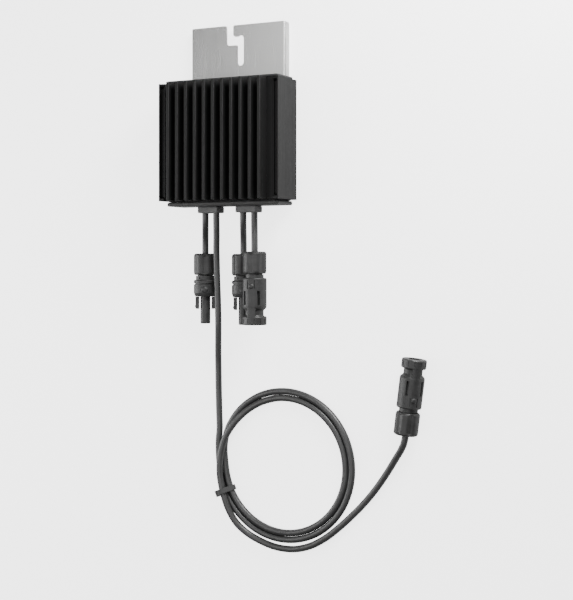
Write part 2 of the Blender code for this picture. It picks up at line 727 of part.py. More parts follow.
def make_plug(name, entry, heading, roll):
    """The coupler with a slim barrel between two latch fingers."""
    frame = connector_frame(name + "_frame", entry, heading, roll)
    make_gland(name, frame)
    body = [(9.6 * MM, 5.8 * MM), (9.6 * MM, STEM_RADIUS), (20.6 * MM, STEM_RADIUS),
            (20.6 * MM, NECK_RADIUS), (24.6 * MM, NECK_RADIUS), (26.0 * MM, SHELL_RADIUS - 0.4 * MM),
            (27.2 * MM, SHELL_RADIUS - 0.1 * MM), (36.6 * MM, SHELL_RADIUS - 0.1 * MM),
            (PLUG_SHELL_END, 9.8 * MM), (PLUG_SHELL_END, BARREL_RADIUS),
            (PLUG_LENGTH - 0.6 * MM, BARREL_RADIUS), (PLUG_LENGTH, BARREL_RADIUS - 0.5 * MM),
            (PLUG_LENGTH, 2.5 * MM), (24.0 * MM, 2.5 * MM), (22.0 * MM, 5.8 * MM)]
    on_frame(turned_part(name + "_body", body, connector_plastic(), segments=24), frame)
    sleeve = [(22.6 * MM, 0.0), (22.6 * MM, 2.1 * MM), (58.0 * MM, 2.1 * MM),
              (58.0 * MM, 1.2 * MM), (44.0 * MM, 1.2 * MM), (44.0 * MM, 0.0)]
    on_frame(turned_part(name + "_contact", sleeve, tinned_copper(), segments=12), frame)
    for letter, side in (("a", -1), ("b", 1)):
        make_latch(f"{name}_latch_{letter}", frame, side)


def make_latch(name, frame, side):
    """A latch finger with its origin on its hinge line at the shell's front face."""
    root = PLUG_SHELL_END + GAP
    inner, outer, tip_outer = 5.9 * MM, 9.1 * MM, 9.6 * MM
    end = 51.4 * MM
    centre = (inner + outer) / 2
    outline = [(inner - centre, 0.0), (outer - centre, 0.0), (outer - centre, 7.4 * MM),
               (tip_outer - centre, 8.2 * MM), (tip_outer - centre, 9.4 * MM),
               (outer - centre - 0.8 * MM, end - root), (inner - centre, end - root)]
    loop = [(side * x, y) for x, y in outline]
    finger = add_object(name, outline_mesh(name, [loop], 6.4 * MM), connector_plastic())
    finger.parent = frame
    finger.rotation_euler = (math.pi / 2, 0.0, 0.0)
    finger.location = (side * centre, 0.0, root)


def make_socket(name, entry, heading, roll):
    """The coupler with a wide shell, two latch windows and an end collar."""
    frame = connector_frame(name + "_frame", entry, heading, roll)
    make_gland(name, frame)
    end = SOCKET_LENGTH
    body = [(9.6 * MM, 5.8 * MM), (9.6 * MM, STEM_RADIUS), (20.6 * MM, STEM_RADIUS),
            (20.6 * MM, NECK_RADIUS), (23.4 * MM, NECK_RADIUS), (25.0 * MM, SHELL_RADIUS - 0.2 * MM),
            (26.0 * MM, SHELL_RADIUS), (49.4 * MM, SHELL_RADIUS), (52.0 * MM, 8.1 * MM),
            (58.2 * MM, 8.1 * MM), (58.2 * MM, SHELL_RADIUS - 0.5 * MM),
            (58.7 * MM, SHELL_RADIUS), (end - 0.6 * MM, SHELL_RADIUS),
            (end, SHELL_RADIUS - 0.6 * MM), (end, 5.3 * MM), (40.0 * MM, 5.3 * MM),
            (40.0 * MM, 2.5 * MM), (24.0 * MM, 2.5 * MM), (22.0 * MM, 5.8 * MM)]
    shell = on_frame(turned_part(name + "_body", body, connector_plastic(), segments=24), frame)
    for side in (-1, 1):
        window = block(f"{name}_window_{side + 2}", (1.7 * MM, 30.0 * MM, 10.4 * MM),
                       (side * 6.5 * MM, 0.0, 42.6 * MM), cutter=True)
        window.parent = frame
        cut(shell, window)
    pin = [(22.6 * MM, 0.0), (22.6 * MM, 2.1 * MM), (41.0 * MM, 2.1 * MM),
           (41.0 * MM, 1.5 * MM), (60.4 * MM, 1.5 * MM), (61.4 * MM, 0.8 * MM),
           (61.4 * MM, 0.0)]
    on_frame(turned_part(name + "_contact", pin, tinned_copper(), segments=12), frame)


# ---------------------------------------------------------------- leads

def s_bend(start, end, straight_in, straight_out, spacing):
    """A lead from start to end, both along -Y, joined by two equal opposite arcs."""
    first, last = Vector(start), Vector(end)
    shift = Vector((last.x - first.x, 0.0, last.z - first.z))
    height = shift.length
    run = first.y - straight_in - (last.y + straight_out)
    radius = (run ** 2 + height ** 2) / (4 * height)
    sideways = shift.normalized()
    half_turn = math.asin(min(1.0, run / 2 / radius))
    steps = max(3, round(radius * half_turn / spacing))
    points = [first]
    for i in range(steps + 1):
        angle = half_turn * i / steps
        points.append(Vector((first.x, first.y - straight_in - radius * math.sin(angle), first.z))
                      + sideways * radius * (1 - math.cos(angle)))
    for i in range(steps - 1, -1, -1):
        angle = half_turn * i / steps
        points.append(Vector((last.x, last.y + straight_out + radius * math.sin(angle), last.z))
                      - sideways * radius * (1 - math.cos(angle)))
    points.append(last)
    return points


def short_lead(name, exit_x, entry):
    """A lead from the terminal block, through its grommet and into a connector's seal."""
    inside = Vector((exit_x, LEAD_START_Y, EXIT_Z))
    core_end = Vector((entry[0], entry[1] - 22.2 * MM, entry[2]))
    out = Vector((exit_x, EXIT_Y, EXIT_Z))
    bend = s_bend(out, Vector(entry), 0.8 * MM, 3.2 * MM, 3.5 * MM)
    tube(name, [inside, *bend, core_end], CABLE_RADIUS, cable_jacket())


def make_coil():
    """The outer shape of the two flat turns, notched underneath where the tie passes."""
    half_height = CABLE_RADIUS
    corner = 1.8 * MM
    profile = [(half_height, COIL_INNER_RADIUS + corner),
               (half_height, COIL_OUTER_RADIUS - corner),
               (half_height - corner, COIL_OUTER_RADIUS),
               (-half_height + corner, COIL_OUTER_RADIUS),
               (-half_height, COIL_OUTER_RADIUS - corner),
               (-half_height, COIL_INNER_RADIUS + corner),
               (-half_height + corner, COIL_INNER_RADIUS),
               (half_height - corner, COIL_INNER_RADIUS)]
    ring = turned_part("long_lead_coil", profile, cable_jacket(), segments=48)
    ring.location = (*COIL_CENTRE, TABLE_CABLE_Z)
    middle = (COIL_INNER_RADIUS + COIL_OUTER_RADIUS) / 2
    angle = math.radians(TIE_ANGLE)
    place = Vector((COIL_CENTRE[0] + middle * math.cos(angle),
                    COIL_CENTRE[1] + middle * math.sin(angle), 0.0))
    notch = block("tie_notch", (20.0 * MM, TIE_WIDTH + 2 * GAP, 2 * (TIE_THICKNESS + 2 * GAP)),
                  place, cutter=True)
    notch.rotation_euler = (0.0, 0.0, angle)
    cut(ring, notch)
    return place, angle


def strap_outline(thickness):
    """Round the two turns on the table and the third strand that crosses on top of them."""
    half_bundle = (COIL_OUTER_RADIUS - COIL_INNER_RADIUS) / 2 + GAP
    corner = 1.3 * MM
    floor = TIE_THICKNESS + 0.05 * MM
    crossing = (2.55 * MM, 9.6 * MM)
    shoulder = (-3.2 * MM, 4.7 * MM)
    return (arc((half_bundle - corner, floor + corner), corner + thickness, -90, 0, 3)
            + arc(crossing, 3.9 * MM + thickness, 0, 130, 7)
            + arc(shoulder, half_bundle + shoulder[0] + thickness, 130, 180, 3)
            + arc((-half_bundle + corner, floor + corner), corner + thickness, 180, 270, 3))


def make_tie(place, angle):
    """A strap round the bundle, with its square head on the outer side."""
    mesh = outline_mesh("cable_tie", [strap_outline(TIE_THICKNESS), strap_outline(0.0)],
                        TIE_WIDTH)
    strap = add_object("cable_tie", mesh, tie_nylon())
    strap.rotation_euler = (math.pi / 2, 0.0, angle)
    strap.location = place
    head = block("tie_head", (4.4 * MM, 5.6 * MM, 5.8 * MM), (9.3 * MM, 6.2 * MM, 0.0),
                 cutter=True)
    head.parent = strap
    cut(strap, head, operation="UNION")


def make_long_lead():
    spacing = 9.5 * MM
    run = [Vector(point) * MM for point in LONG_LEAD_ROUTE]
    tube("long_lead_run", smooth_route(run, spacing), CABLE_RADIUS, cable_jacket())
    place, angle = make_coil()
    make_tie(place, angle)
    tail = [Vector(point) * MM for point in TAIL_ROUTE]
    axis = Vector((math.cos(math.radians(FAR_HEADING)), math.sin(math.radians(FAR_HEADING)), 0.0))
    inside = Vector(FAR_ENTRY) + axis * 22.2 * MM
    tail_points = [*smooth_route(tail, spacing), Vector(FAR_ENTRY) + axis * 3.0 * MM, inside]
    tube("long_lead_tail", tail_points, CABLE_RADIUS, cable_jacket())


LEFT_ENTRY = (-32.3 * MM, -123.7 * MM, REST_Z)
INNER_ENTRY = (8.4 * MM, -124.2 * MM, REST_Z)
OUTER_ENTRY = (27.0 * MM, -122.3 * MM, 23.7 * MM)
FAR_ENTRY = (168.4 * MM, -280.9 * MM, REST_Z)
FAR_HEADING = 82.67
DOWN = -90.0

make_enclosure()
make_bracket()
make_electronics()
make_plug("left_plug", LEFT_ENTRY, DOWN, 27.0)
make_plug("inner_plug", INNER_ENTRY, DOWN, 27.0)
make_socket("outer_socket", OUTER_ENTRY, DOWN, 10.5)
make_socket("far_socket", FAR_ENTRY, FAR_HEADING, 41.0)
short_lead("left_lead", lead_exit_x(-1, -1), LEFT_ENTRY)
short_lead("inner_lead", lead_exit_x(1, -1), INNER_ENTRY)
short_lead("outer_lead", lead_exit_x(1, 1), OUTER_ENTRY)
make_long_lead()
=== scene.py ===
"""Looks for the module-level DC power optimiser: materials, leads and moulded connectors."""

import json
import math

import bmesh
import bpy
from mathutils import Matrix, Vector


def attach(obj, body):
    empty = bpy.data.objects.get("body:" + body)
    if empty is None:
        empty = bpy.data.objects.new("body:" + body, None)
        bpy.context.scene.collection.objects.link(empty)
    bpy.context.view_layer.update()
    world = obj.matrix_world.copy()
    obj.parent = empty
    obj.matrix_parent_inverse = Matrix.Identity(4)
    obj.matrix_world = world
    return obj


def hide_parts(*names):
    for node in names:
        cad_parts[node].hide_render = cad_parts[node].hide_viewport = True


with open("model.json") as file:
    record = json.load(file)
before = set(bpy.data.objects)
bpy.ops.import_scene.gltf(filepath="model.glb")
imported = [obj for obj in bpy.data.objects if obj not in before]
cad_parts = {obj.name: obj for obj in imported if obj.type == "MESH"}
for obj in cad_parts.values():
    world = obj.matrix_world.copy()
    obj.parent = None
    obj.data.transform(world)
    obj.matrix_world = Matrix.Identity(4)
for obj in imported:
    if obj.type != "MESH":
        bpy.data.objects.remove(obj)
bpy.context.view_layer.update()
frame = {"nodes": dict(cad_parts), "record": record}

MM = 0.001

# Leads, as the frame holds them
CABLE_RADIUS = 3.05 * MM
EXIT_Y = -86.8
EXIT_Z = 21.8
LEAD_START_Y = -62.0
SEAL_DEPTH = 22.2
LEFT_EXIT_X = -25.7
INNER_EXIT_X = 14.1
OUTER_EXIT_X = 25.7
TABLE_Z = 3.1
COIL_CENTRE = (46.65, -316.4)
COIL_OUTER_STRAND = 67.35
COIL_INNER_STRAND = 61.2
TIE_ANGLE = 204.0
TIE_LIFT = 0.6

# Connectors: back of the union nut, heading of the axis and roll of the latch side
LEFT_PLUG = ((-32.3, -123.7, 10.9), -90.0, 27.0)
INNER_PLUG = ((8.4, -124.2, 10.9), -90.0, 27.0)
OUTER_SOCKET = ((27.0, -122.3, 23.7), -90.0, 10.5)
FAR_SOCKET = ((168.4, -280.9, 10.9), 82.67, 41.0)

LONG_LEAD_ROUTE = [
    (-14.1, -62.0, 21.8), (-14.1, -87.0, 21.8), (-14.3, -98.0, 21.3), (-15.4, -109.0, 19.2),
    (-16.9, -120.0, 16.9), (-17.4, -132.0, 15.6), (-17.3, -146.0, 15.1), (-16.8, -160.0, 14.9),
    (-16.5, -174.0, 14.6), (-16.9, -188.0, 13.4), (-18.7, -202.0, 10.4), (-20.8, -216.0, 6.9),
    (-22.2, -230.0, 4.2), (-22.6, -244.0, 3.2), (-22.3, -258.0, 3.1), (-21.9, -272.0, 3.1),
    (-21.5, -286.6, 3.1),
]
TAIL_ROUTE = [
    (-12.4, -294.9, 9.5), (-16.9, -310.8, 9.6), (-17.6, -327.7, 9.6), (-14.4, -343.6, 9.6),
    (-9.1, -358.4, 9.4), (-1.4, -371.6, 7.6), (9.3, -381.0, 5.1), (23.5, -387.7, 3.5),
    (38.8, -391.5, 3.1), (55.9, -391.7, 3.1), (72.5, -387.3, 3.1), (87.4, -379.1, 3.1),
    (99.8, -369.5, 3.1), (111.2, -359.3, 3.1), (122.8, -347.9, 3.1), (133.4, -336.0, 3.3),
    (143.2, -323.4, 4.0), (151.5, -311.8, 5.5), (158.4, -302.0, 7.9), (163.4, -295.1, 9.7),
    (166.3, -290.0, 10.6), (167.6, -286.0, 10.9), (168.0, -283.9, 10.9),
]
# Where the strands change places on the coil's left: angle, radius and height of each
FIRST_STRAND_IN = [(165, 71.6), (175, 69.2), (185, 67.8), (195, 67.35)]
SECOND_STRAND_IN = [(485, 67.3), (497, 67.1), (509, 66.6), (519, 65.7), (529, 64.2),
                    (539, 62.3), (549, 61.4)]
THIRD_STRAND_UP = [(832, 61.2, 3.4), (844, 61.2, 4.7), (856, 61.4, 6.6), (868, 61.9, 8.5)]


# ---------------------------------------------------------------- camera, lights and floor

CAMERA_PLACE = (0.6189, -0.1353, 1.0962)
CAMERA_TILT = math.radians(27.549)
CAMERA_LENS = 81.5
CAMERA_SHIFT = -34 / 600


def make_camera():
    """From the upper right, looking down at the device, with its length upright."""
    data = bpy.data.cameras.new("camera")
    data.sensor_width = 36.0
    data.lens = CAMERA_LENS
    data.shift_y = CAMERA_SHIFT
    data.clip_start = 0.05
    camera = bpy.data.objects.new("camera", data)
    camera.location = CAMERA_PLACE
    camera.rotation_euler = (0.0, CAMERA_TILT, 0.0)
    bpy.context.scene.collection.objects.link(camera)
    bpy.context.scene.camera = camera


def area_light(name, location, aim, size, power):
    data = bpy.data.lights.new(name, "AREA")
    data.shape = "RECTANGLE"
    data.size, data.size_y = size
    data.energy = power
    light = bpy.data.objects.new(name, data)
    light.location = location
    direction = Vector(aim) - Vector(location)
    light.rotation_euler = direction.to_track_quat("-Z", "Y").to_euler()
    bpy.context.scene.collection.objects.link(light)


FLOOR_TONE = 0.85
FLOOR_DROP = 0.3 * MM
FLOOR_GLOW = 3.0
STUDIO_GLOW = 0.12
# Each light: name, place, aim, size and power
LIGHTS = [
    ("key_left", (-0.75, -0.2, 0.35), (0.0, -0.15, 0.0), (0.4, 1.0), 6.0),
    ("side_right", (0.45, 0.35, 0.25), (0.12, 0.07, 0.0), (0.25, 0.3), 7.5),
    ("overhead", (0.36, 0.0, 1.9), (0.36, 0.0, 0.0), (2.64, 2.4), 27.0),
]


def make_studio():
    for light in LIGHTS:
        area_light(*light)
    world = bpy.data.worlds.new("studio")
    world.use_nodes = True
    background = world.node_tree.nodes["Background"]
    background.inputs["Color"].default_value = (1.0, 1.0, 1.0, 1.0)
    background.inputs["Strength"].default_value = STUDIO_GLOW
    bpy.context.scene.world = world


def make_floor():
    shape = bmesh.new()
    bmesh.ops.create_grid(shape, x_segments=1, y_segments=1, size=6.0)
    mesh = bpy.data.meshes.new("floor")
    shape.to_mesh(mesh)
    shape.free()
    floor = bpy.data.objects.new("floor", mesh)
    floor.location = (0.0, 0.0, -FLOOR_DROP)
    bpy.context.scene.collection.objects.link(floor)
    finish = bpy.data.materials.new("pale_floor")
    finish.use_nodes = True
    tree = finish.node_tree
    shader = tree.nodes["Principled BSDF"]
    shader.inputs["Base Color"].default_value = (FLOOR_TONE, FLOOR_TONE, FLOOR_TONE, 1.0)
    shader.inputs["Roughness"].default_value = 0.9
    shader.inputs["Specular IOR Level"].default_value = 0.0
    shader.inputs["Emission Color"].default_value = (1.0, 1.0, 1.0, 1.0)
    seen = tree.nodes.new("ShaderNodeLightPath")
    glow = tree.nodes.new("ShaderNodeMath")
    glow.operation = "MULTIPLY"
    glow.inputs[1].default_value = FLOOR_GLOW
    tree.links.new(seen.outputs["Is Camera Ray"], glow.inputs[0])
    tree.links.new(glow.outputs["Value"], shader.inputs["Emission Strength"])
    mesh.materials.append(finish)


# ---------------------------------------------------------------- materials

class Finish:
    """A Principled material with its texture nodes laid down one after another."""

    def __init__(self, name, colour, roughness, metallic=0.0, specular=0.5):
        self.made = bpy.data.materials.new(name)
        self.made.use_nodes = True
        self.tree = self.made.node_tree
        self.shader = self.tree.nodes["Principled BSDF"]
        self.shader.inputs["Base Color"].default_value = (*colour, 1.0)
        self.shader.inputs["Roughness"].default_value = roughness
        self.shader.inputs["Metallic"].default_value = metallic
        self.shader.inputs["Specular IOR Level"].default_value = specular
        self.place = self.tree.nodes.new("ShaderNodeTexCoord").outputs["Object"]
        self.bump = None

    def link(self, start, end):
        self.tree.links.new(start, end)

    def noise(self, scale, stretch=(1.0, 1.0, 1.0), detail=4.0, rough=0.55):
        mapping = self.tree.nodes.new("ShaderNodeMapping")
        mapping.inputs["Scale"].default_value = stretch
        self.link(self.place, mapping.inputs["Vector"])
        texture = self.tree.nodes.new("ShaderNodeTexNoise")
        texture.inputs["Scale"].default_value = scale
        texture.inputs["Detail"].default_value = detail
        texture.inputs["Roughness"].default_value = rough
        self.link(mapping.outputs["Vector"], texture.inputs["Vector"])
        return texture.outputs["Fac"]

    def ramp(self, value, stops):
        node = self.tree.nodes.new("ShaderNodeValToRGB")
        elements = node.color_ramp.elements
        while len(elements) < len(stops):
            elements.new(0.5)
        for element, (position, colour) in zip(elements, stops):
            element.position = position
            element.color = (*colour, 1.0)
        self.link(value, node.inputs["Fac"])
        return node.outputs["Color"]

    def spread(self, value, low, high):
        node = self.tree.nodes.new("ShaderNodeMapRange")
        node.inputs["From Min"].default_value = 0.3
        node.inputs["From Max"].default_value = 0.7
        node.inputs["To Min"].default_value = low
        node.inputs["To Max"].default_value = high
        self.link(value, node.inputs["Value"])
        return node.outputs["Result"]

    def tint(self, value, dark, light):
        self.link(self.ramp(value, [(0.3, dark), (0.7, light)]),
                  self.shader.inputs["Base Color"])

    def vary_roughness(self, value, low, high):
        self.link(self.spread(value, low, high), self.shader.inputs["Roughness"])

    def relief(self, value, depth, strength=1.0):
        node = self.tree.nodes.new("ShaderNodeBump")
        node.inputs["Distance"].default_value = depth
        node.inputs["Strength"].default_value = strength
        self.link(value, node.inputs["Height"])
        if self.bump:
            self.link(self.bump, node.inputs["Normal"])
        self.bump = node.outputs["Normal"]
        self.link(self.bump, self.shader.inputs["Normal"])

    def painted_edge_highlight(self, base, edge, highlight_share=0.5):
        """Mixes a paler tone in along convex edges, broken up by noise: a painted highlight, not
        wear.
        """
        geometry = self.tree.nodes.new("ShaderNodeNewGeometry")
        edge_highlight_mask = self.ramp(geometry.outputs["Pointiness"],
                         [(0.52, (0.0, 0.0, 0.0)), (0.6, (highlight_share, highlight_share, highlight_share))])
        mix = self.tree.nodes.new("ShaderNodeMix")
        mix.data_type = "RGBA"
        self.link(edge_highlight_mask, mix.inputs["Factor"])
        self.link(base, mix.inputs["A"])
        mix.inputs["B"].default_value = (*edge, 1.0)
        self.link(mix.outputs["Result"], self.shader.inputs["Base Color"])


def grey(value):
    return (value, value, value)


def anodised_aluminium():
    finish = Finish("anodised_aluminium", grey(0.010), 0.42, metallic=0.0, specular=0.22)
    along_profile = finish.noise(900, (1.0, 0.012, 1.0), 5)
    cloud = finish.noise(40, detail=3)
    base = finish.ramp(cloud, [(0.3, grey(0.0025)), (0.7, grey(0.0045))])
    # Fin tips and other convex edges paled: painted highlight.
    finish.painted_edge_highlight(base, grey(0.03), 0.25)
    finish.vary_roughness(along_profile, 0.34, 0.5)
    finish.relief(along_profile, 0.03 * MM, 0.35)
    finish.relief(finish.noise(4500, detail=2), 0.01 * MM, 0.25)
    return finish.made


def coated_cap():
    finish = Finish("coated_cap", grey(0.03), 0.5, specular=0.4)
    cloud = finish.noise(60, detail=4)
    base = finish.ramp(cloud, [(0.3, grey(0.019)), (0.7, grey(0.03))])
    # Convex edges of the cap paled: painted highlight.
    finish.painted_edge_highlight(base, grey(0.09), 0.4)
    finish.vary_roughness(finish.noise(700), 0.42, 0.6)
    finish.relief(finish.noise(2600, detail=3), 0.03 * MM, 0.3)
    return finish.made


def sheet_steel():
    finish = Finish("sheet_steel", grey(0.6), 0.36, metallic=0.9)
    rolling = finish.noise(1400, (1.0, 0.02, 1.0), 6, 0.6)
    cloud = finish.noise(18, (1.0, 0.6, 1.0), 4)
    finish.tint(cloud, (0.74, 0.74, 0.73), (0.84, 0.84, 0.83))
    finish.vary_roughness(rolling, 0.23, 0.28)
    finish.relief(rolling, 0.02 * MM, 0.05)
    finish.relief(finish.noise(60, (1.0, 0.3, 1.0), 2), 0.06 * MM, 0.15)
    return finish.made


def plated_screw():
    finish = Finish("plated_screw", grey(0.5), 0.35, metallic=0.95)
    finish.tint(finish.noise(300), grey(0.42), grey(0.55))
    finish.vary_roughness(finish.noise(1200), 0.25, 0.45)
    finish.relief(finish.noise(2500), 0.01 * MM, 0.4)
    return finish.made


def rubber(name, dark, light):
    finish = Finish(name, dark, 0.7, specular=0.35)
    finish.tint(finish.noise(120), dark, light)
    finish.vary_roughness(finish.noise(500), 0.58, 0.78)
    finish.relief(finish.noise(1800, detail=5), 0.03 * MM, 0.35)
    return finish.made


def cable_sheath():
    finish = Finish("cable_sheath", grey(0.05), 0.45, specular=0.7)
    cloud = finish.noise(90, detail=4)
    scuffs = finish.noise(2200, detail=3)
    finish.tint(cloud, grey(0.03), grey(0.043))
    finish.vary_roughness(scuffs, 0.34, 0.5)
    finish.relief(scuffs, 0.02 * MM, 0.3)
    finish.relief(finish.noise(260, detail=2), 0.05 * MM, 0.12)
    return finish.made


def moulded_plastic(name, dark, light, grain=3200):
    finish = Finish(name, dark, 0.45, specular=0.5)
    base = finish.ramp(finish.noise(150), [(0.3, dark), (0.7, light)])
    # Convex edges paled towards a lighter tone: painted highlight.
    finish.painted_edge_highlight(base, tuple(min(1.0, 2.2 * c + 0.02) for c in light), 0.3)
    finish.vary_roughness(finish.noise(800), 0.36, 0.54)
    finish.relief(finish.noise(grain, detail=2), 0.02 * MM, 0.35)
    return finish.made


def tinned_metal():
    finish = Finish("tinned_metal", (0.75, 0.73, 0.69), 0.28, metallic=1.0)
    finish.tint(finish.noise(400), (0.66, 0.64, 0.6), (0.8, 0.78, 0.74))
    finish.vary_roughness(finish.noise(1500), 0.2, 0.38)
    finish.relief(finish.noise(3000), 0.006 * MM, 0.4)
    return finish.made


def board():
    finish = Finish("solder_mask", (0.02, 0.12, 0.05), 0.35)
    finish.tint(finish.noise(200), (0.012, 0.09, 0.035), (0.03, 0.15, 0.06))
    finish.vary_roughness(finish.noise(900), 0.28, 0.42)
    finish.relief(finish.noise(1600), 0.02 * MM, 0.3)
    return finish.made


def copper_winding():
    finish = Finish("enamelled_copper", (0.55, 0.22, 0.09), 0.3, metallic=0.9)
    turns = finish.noise(1600, (0.05, 0.05, 1.0), 2)
    finish.tint(turns, (0.4, 0.14, 0.05), (0.68, 0.3, 0.12))
    finish.vary_roughness(turns, 0.22, 0.4)
    finish.relief(turns, 0.15 * MM, 0.6)
    return finish.made


def make_finishes():
    dark_plastic = moulded_plastic("connector_plastic", grey(0.019), grey(0.03))
    return {
        "black_anodised_aluminium": anodised_aluminium(),
        "cast_cap_aluminium": coated_cap(),
        "bright_sheet_steel": sheet_steel(),
        "screw_steel": plated_screw(),
        "black_rubber": rubber("seal_rubber", grey(0.012), grey(0.02)),
        "grommet_rubber": rubber("grommet_rubber", grey(0.11), grey(0.15)),
        "cable_jacket": cable_sheath(),
        "connector_plastic": dark_plastic,
        "tinned_copper": tinned_metal(),
        "board_laminate": board(),
        "ferrite": rubber("ferrite", grey(0.04), grey(0.06)),
        "copper_wire": copper_winding(),
        "moulded_black": moulded_plastic("moulded_black", grey(0.02), grey(0.03)),
        "silicone_pad": rubber("silicone_pad", (0.3, 0.33, 0.37), (0.38, 0.41, 0.45)),
        "tie_nylon": moulded_plastic("tie_nylon", grey(0.018), grey(0.028), 1500),
    }


def dress_cad_nodes(finishes):
    for entry in frame["record"]["subparts"]:
        node = frame["nodes"][entry["node"]]
        finish = finishes[entry["material_slot"]]
        if node.material_slots:
            for holder in node.material_slots:
                holder.material = finish
        else:
            node.data.materials.append(finish)


def soften_edges():
    """Small edge radii on the sheet and moulded pieces, so that they catch the light."""
    widths = {"bottom_end_cap": 0.25, "left_grommet": 0.3, "right_grommet": 0.3,
              "cable_tie": 0.25, "mounting_bracket": 0.18, "heatsink_housing": 0.12,
              "left_plug_latch_a": 0.4, "left_plug_latch_b": 0.4,
              "inner_plug_latch_a": 0.4, "inner_plug_latch_b": 0.4}
    for name, width in widths.items():
        rounding = frame["nodes"][name].modifiers.new("edges", "BEVEL")
        rounding.width = width * MM
        rounding.segments = 2
        rounding.limit_method = "ANGLE"
        rounding.angle_limit = math.radians(40)
        rounding.harden_normals = True


# ---------------------------------------------------------------- leads

def smooth_route(points, spacing):
    """Points about `spacing` mm apart on a Catmull-Rom curve through the route's points."""
    route = [Vector(point) for point in points]
    padded = [2 * route[0] - route[1], *route, 2 * route[-1] - route[-2]]
    made = []
    for before, start, end, after in zip(padded, padded[1:], padded[2:], padded[3:]):
        steps = max(1, round((end - start).length / spacing))
        for i in range(steps):
            t = i / steps
            made.append(0.5 * (2 * start + (end - before) * t
                               + (2 * before - 5 * start + 4 * end - after) * t ** 2
                               + (3 * start - before - 3 * end + after) * t ** 3))
    made.append(route[-1])
    return made


def s_bend(start, end, straight_in, straight_out, spacing):
    """A lead from start to end, both along -Y, joined by two equal opposite arcs."""
    first, last = Vector(start), Vector(end)
    shift = Vector((last.x - first.x, 0.0, last.z - first.z))
    height = shift.length
    run = first.y - straight_in - (last.y + straight_out)
    radius = (run ** 2 + height ** 2) / (4 * height)
    sideways = shift.normalized()
    half_turn = math.asin(min(1.0, run / 2 / radius))
    steps = max(3, round(radius * half_turn / spacing))
    points = [first]
    for i in range(steps + 1):
        angle = half_turn * i / steps
        drop = Vector((0.0, straight_in + radius * math.sin(angle), 0.0))
        points.append(first - drop + sideways * radius * (1 - math.cos(angle)))
    for i in range(steps - 1, -1, -1):
        angle = half_turn * i / steps
        rise = Vector((0.0, straight_out + radius * math.sin(angle), 0.0))
        points.append(last + rise - sideways * radius * (1 - math.cos(angle)))
    points.append(last)
    return points


def cable(name, points, finish):
    """A round cable along points given in mm."""
    curve = bpy.data.curves.new(name, "CURVE")
    curve.dimensions = "3D"
    curve.bevel_depth = CABLE_RADIUS
    curve.bevel_resolution = 6
    curve.use_fill_caps = True
    spline = curve.splines.new("POLY")
    spline.points.add(len(points) - 1)
    for point, place in zip(spline.points, points):
        point.co = (*(Vector(place) * MM), 1.0)
    spline.use_smooth = True
    curve.materials.append(finish)
    made = bpy.data.objects.new(name, curve)
    bpy.context.scene.collection.objects.link(made)
    return made


def on_coil(angle, radius, height=TABLE_Z):
    turn = math.radians(angle)
    from_tie = abs((angle - TIE_ANGLE + 180) % 360 - 180)
    lift = TIE_LIFT * max(0.0, 1 - from_tie / 24) ** 0.5 if radius < 68 and height < 4 else 0.0
    return (COIL_CENTRE[0] + radius * math.cos(turn), COIL_CENTRE[1] + radius * math.sin(turn),
            height + lift)


def long_lead_points():
    """Down to the table, twice round the coil, over the bundle and away to the socket."""
    coil = [on_coil(angle, radius) for angle, radius in FIRST_STRAND_IN]
    coil += [on_coil(angle, COIL_OUTER_STRAND) for angle in range(204, 480, 9)]
    coil += [on_coil(angle, radius) for angle, radius in SECOND_STRAND_IN]
    coil += [on_coil(angle, COIL_INNER_STRAND) for angle in range(558, 826, 9)]
    coil += [on_coil(*place) for place in THIRD_STRAND_UP]
    entry, heading, _ = FAR_SOCKET
    axis = Vector((math.cos(math.radians(heading)), math.sin(math.radians(heading)), 0.0))
    inside = [Vector(entry) + axis * 3.0, Vector(entry) + axis * SEAL_DEPTH]
    return smooth_route(LONG_LEAD_ROUTE + coil + TAIL_ROUTE, 4.0) + inside


def short_lead_points(exit_x, connector):
    entry = Vector(connector[0])
    out = Vector((exit_x, EXIT_Y, EXIT_Z))
    inside = Vector((exit_x, LEAD_START_Y, EXIT_Z))
    seal = entry - Vector((0.0, SEAL_DEPTH, 0.0))
    return [inside, *s_bend(out, entry, 0.8, 3.2, 1.2), seal]


def on_connector(name):
    """What is shown of a connector: its body, nut and, on a plug, latch fingers."""
    shown = [bpy.data.objects.get(f"{name}_{part}_moulding") or frame["nodes"][f"{name}_{part}"]
             for part in ("body", "nut")]
    shown += [frame["nodes"][f"{name}_{part}"] for part in ("cage", "seal", "contact")]
    shown += [node for key, node in frame["nodes"].items() if key.startswith(f"{name}_latch")]
    return shown


def make_leads(finish):
    short = [("left_lead", LEFT_EXIT_X, LEFT_PLUG, "left_plug"),
             ("inner_lead", INNER_EXIT_X, INNER_PLUG, "inner_plug"),
             ("outer_lead", OUTER_EXIT_X, OUTER_SOCKET, "outer_socket")]
    for node, exit_x, connector, connector_name in short:
        points = short_lead_points(exit_x, connector)
        made = cable(node + "_cable", points, finish)
        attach(made, "device")
        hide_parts(node)
        on_connector(connector_name)
    points = long_lead_points()
    made = cable("long_lead_cable", points, finish)
    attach(made, "device")
    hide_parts("long_lead_run", "long_lead_coil", "long_lead_tail")
    on_connector("far_socket")


# ---------------------------------------------------------------- connectors

def connector_matrix(entry, heading, roll):
    """Local Z along the connector, local Y out of its latch side, in mm."""
    axis = Vector((math.cos(math.radians(heading)), math.sin(math.radians(heading)), 0.0))
    up = Vector((0.0, 0.0, 1.0))
    across = axis.cross(up)
    if across.x < 0:
        across = -across
    normal = up * math.cos(math.radians(roll)) + across * math.sin(math.radians(roll))
    side = normal.cross(axis)
    turn = Matrix((side, normal, axis)).transposed().to_4x4()
    return Matrix.Scale(MM, 4) @ Matrix.Translation(entry) @ turn


